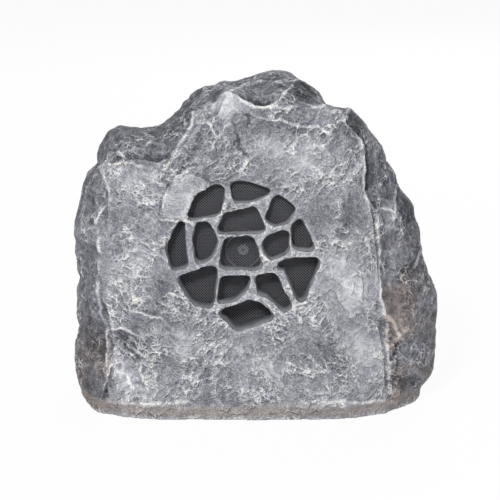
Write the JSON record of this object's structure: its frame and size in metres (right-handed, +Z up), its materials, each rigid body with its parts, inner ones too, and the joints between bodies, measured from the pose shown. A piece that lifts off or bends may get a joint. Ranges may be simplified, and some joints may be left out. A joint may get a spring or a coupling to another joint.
{
  "type": "garden rock speaker",
  "caption": "Outdoor loudspeaker hidden in a hollow cast boulder, with irregular sound holes in its front face, a wire grille, a two-way driver and a flush base panel.",
  "frame": {"origin": "point on the flat base under the boulder, midway across and midway deep, on the face it rests on", "axes": "+Z up, -Y out of the front face with the sound holes, +X to the right as seen from the front, +Y along the cable gland out of the back"},
  "size_m": [0.3819, 0.3166, 0.3456],
  "materials": {
    "stone_resin": "cast stone-effect resin, rugged and dry brushed",
    "grille_black": "black stoved paint on fine woven wire",
    "black_abs": "moulded black plastic",
    "foam": "closed-cell foam",
    "zinc_screw": "zinc plated",
    "basket_paint": "black powder coat",
    "surround_rubber": "matt rubber",
    "cone_paper": "coated paper pulp",
    "copper": "enamelled copper wire",
    "spider_cloth": "phenolic-treated cloth",
    "plated_steel": "zinc plated",
    "ferrite": "sintered ferrite, dull",
    "phenolic": "phenolic board",
    "aluminium": "drawn tube",
    "dome_film": "aluminised polyester film",
    "fibreglass_board": "green printed board",
    "brass_screw": "bright brass",
    "film_yellow": "yellow film capacitor",
    "film_red": "red film capacitor",
    "cement": "white cement resistor",
    "terminal_green": "moulded green plastic",
    "gland_nylon": "black nylon",
    "seal_rubber": "matt rubber",
    "pvc_red": "red flexible insulation",
    "pvc_blue": "blue flexible insulation"
  },
  "bodies": {
    "casing": {"rock_shell": "stone_resin", "grille_mesh": "grille_black", "spacer_ring": "black_abs", "driver_gasket": "foam", "driver_screws": "zinc_screw", "basket": "basket_paint", "surround": "surround_rubber", "spider": "spider_cloth", "top_plate": "plated_steel", "magnet": "ferrite", "yoke": "plated_steel", "terminal_strip": "phenolic", "tweeter_post": "aluminium", "tweeter_housing": "black_abs", "tweeter_dome": "dome_film", "base_plate": "black_abs", "base_gasket": "foam", "base_screws": "zinc_screw", "crossover_board": "fibreglass_board", "board_screws": "brass_screw", "inductor": "copper", "tweeter_capacitor": "film_yellow", "woofer_capacitor": "film_red", "resistor": "cement", "input_terminal": "terminal_green", "gland_body": "gland_nylon", "gland_locknut": "gland_nylon", "gland_seal": "seal_rubber", "gland_nut": "gland_nylon", "woofer_lead": "pvc_red", "tweeter_lead": "pvc_blue"},
    "cone_assembly": {"cone": "cone_paper", "voice_coil": "copper"}
  },
  "joints": [
    {"name": "cone_travel", "type": "slide", "parent": "casing", "child": "cone_assembly", "axis": [0, -1, 0], "range_m": [-0.003, 0.003], "stiffness_N_per_m": 1700, "deforming": ["surround", "spider"]}
  ]
}
